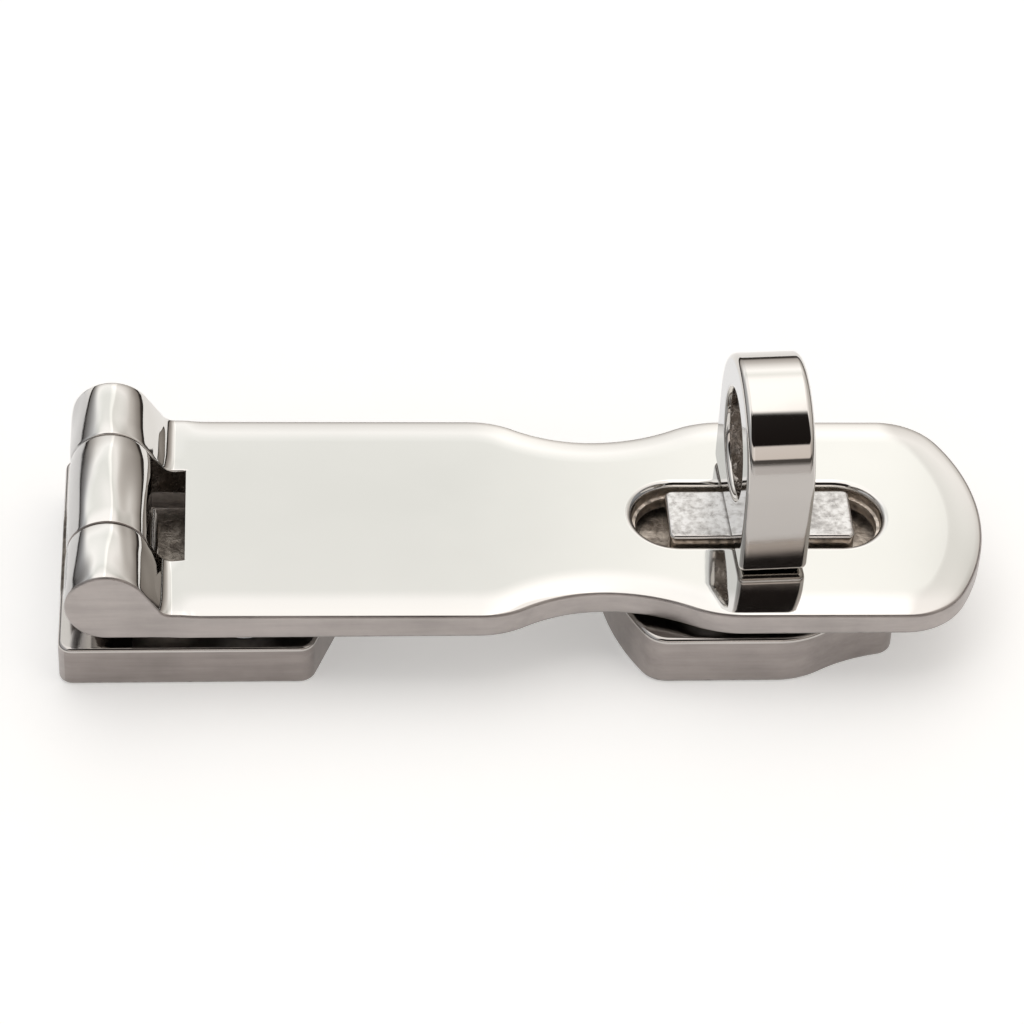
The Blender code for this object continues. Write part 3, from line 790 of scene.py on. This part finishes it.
# ------------------------------------------------------------------ floor, light, camera
floor_mat = Nodes("floor_paper")
fn = floor_mat.noise(floor_mat.scaled((1, 1, 1)), 400, 4, 0.6)
floor_mat.out(floor_mat.ramp(fn, [(0.3, (0.93, 0.93, 0.925)), (0.7, (0.94, 0.94, 0.937))]), 0.75, None, metallic=0.0)
floor_mat.p.inputs["Emission Color"].default_value = (1, 1, 0.99, 1)
floor_mat.p.inputs["Emission Strength"].default_value = 0.34
bpy.ops.mesh.primitive_plane_add(size=6, location=(0, 0, -0.00001))
floor = bpy.context.object
floor.name = "floor"
floor.data.materials.append(floor_mat.mat)

world = bpy.data.worlds.new("studio")
bpy.context.scene.world = world
world.use_nodes = True
wt = world.node_tree


def wnode(kind, **kw):
    n = wt.nodes.new(kind)
    for k, v in kw.items():
        setattr(n, k, v)
    return n


def wramp(fac, stops):
    r = wnode("ShaderNodeValToRGB")
    el = r.color_ramp.elements
    el[0].position, el[0].color = stops[0][0], (*stops[0][1], 1)
    el[1].position, el[1].color = stops[-1][0], (*stops[-1][1], 1)
    for pos, col in stops[1:-1]:
        e = el.new(pos)
        e.color = (*col, 1)
    wt.links.new(fac, r.inputs["Fac"])
    return r.outputs["Color"]


# The room: white tent above and behind, a dark gap in front where the lens looks in,
# a pale strip under it, and a duller strip along the horizon.
wc = wnode("ShaderNodeTexCoord")
ws = wnode("ShaderNodeSeparateXYZ")
wt.links.new(wc.outputs["Generated"], ws.inputs[0])
front = wramp(ws.outputs["Z"], [(0.0, (0.88, 0.86, 0.84)), (0.18, (0.92, 0.90, 0.88)), (0.21, (0.12, 0.11, 0.10)), (0.31, (0.10, 0.09, 0.085)), (0.34, (0.98, 0.90, 0.84)), (0.57, (1.02, 0.95, 0.90)),
                                (0.60, (0.015, 0.012, 0.011)), (0.965, (0.02, 0.017, 0.016)), (0.99, (1.3, 1.25, 1.22))])
behind = wramp(ws.outputs["Z"], [(0.0, (0.05, 0.045, 0.04)), (0.10, (0.07, 0.06, 0.055)), (0.15, (0.45, 0.42, 0.39)), (0.30, (0.72, 0.69, 0.66)), (0.45, (1.10, 1.08, 1.05)), (0.56, (1.36, 1.35, 1.33)),
                                 (0.64, (1.18, 1.19, 1.16)), (0.67, (1.10, 1.11, 1.075)), (0.70, (1.16, 1.16, 1.13)), (0.77, (1.38, 1.36, 1.34)), (0.86, (1.44, 1.41, 1.38)), (1.0, (1.42, 1.39, 1.35))])
zz = wnode("ShaderNodeMath", operation="MULTIPLY")
wt.links.new(ws.outputs["Z"], zz.inputs[0])
wt.links.new(ws.outputs["Z"], zz.inputs[1])
flat = wnode("ShaderNodeMath", operation="SUBTRACT")
flat.inputs[0].default_value = 1.0001
wt.links.new(zz.outputs[0], flat.inputs[1])
root = wnode("ShaderNodeMath", operation="SQRT")
wt.links.new(flat.outputs[0], root.inputs[0])
turn = wnode("ShaderNodeMath", operation="DIVIDE")
wt.links.new(ws.outputs["Y"], turn.inputs[0])
wt.links.new(root.outputs[0], turn.inputs[1])
way = wnode("ShaderNodeMapRange", interpolation_type="SMOOTHSTEP")
way.inputs["From Min"].default_value, way.inputs["From Max"].default_value = -0.82, -0.6
wt.links.new(turn.outputs[0], way.inputs["Value"])
wm = wnode("ShaderNodeMix", data_type="RGBA")
sock = {s.identifier: s for s in list(wm.inputs) + list(wm.outputs)}
wt.links.new(way.outputs["Result"], sock["Factor_Float"])
wt.links.new(front, sock["A_Color"])
wt.links.new(behind, sock["B_Color"])


def side_card(colour, x0, x1, dim):
    """Blends the room towards a duller copy of itself where the direction's X goes from x0 to x1."""
    f = wnode("ShaderNodeMapRange", interpolation_type="SMOOTHSTEP")
    f.inputs["From Min"].default_value, f.inputs["From Max"].default_value = x0, x1
    wt.links.new(ws.outputs["X"], f.inputs["Value"])
    m = wnode("ShaderNodeMix", data_type="RGBA", blend_type="MULTIPLY")
    s = {q.identifier: q for q in list(m.inputs) + list(m.outputs)}
    wt.links.new(f.outputs["Result"], s["Factor_Float"])
    wt.links.new(colour, s["A_Color"])
    s["B_Color"].default_value = (*dim, 1)
    return s["Result_Color"]



room = side_card(sock["Result_Color"], -0.30, -0.62, (0.47, 0.48, 0.50))
room = side_card(room, 0.05, 0.135, (1.22, 1.21, 1.2))
room = side_card(room, 0.158, 0.20, (0.76, 0.75, 0.745))
room = side_card(room, 0.26, 0.52, (0.66, 0.645, 0.63))
wt.links.new(room, wt.nodes["Background"].inputs["Color"])
wt.nodes["Background"].inputs["Strength"].default_value = 1.0

cam_data = bpy.data.cameras.new("camera")
cam = bpy.data.objects.new("camera", cam_data)
bpy.context.scene.collection.objects.link(cam)
az, el, roll = radians(4.752), radians(42.272), radians(2.878)
dist = 0.362759
target = Vector((-0.000253, 0.009184, 0.0))
back = Vector((-sin(az) * cos(el), -cos(az) * cos(el), sin(el)))
fwd = -back
right = fwd.cross(Vector((0, 0, 1))).normalized()
up = right.cross(fwd)
r2 = right * cos(roll) + up * sin(roll)
u2 = -right * sin(roll) + up * cos(roll)
loc = target + back * dist
cam.matrix_world = Matrix(((r2.x, u2.x, back.x, loc.x), (r2.y, u2.y, back.y, loc.y), (r2.z, u2.z, back.z, loc.z), (0, 0, 0, 1)))
cam_data.sensor_width = 36.0
cam_data.lens = 4076.8 * 36.0 / 1024.0
cam_data.clip_start = 0.01
cam_data.clip_end = 20
bpy.context.scene.camera = cam
bpy.context.scene.view_settings.view_transform = "Standard"
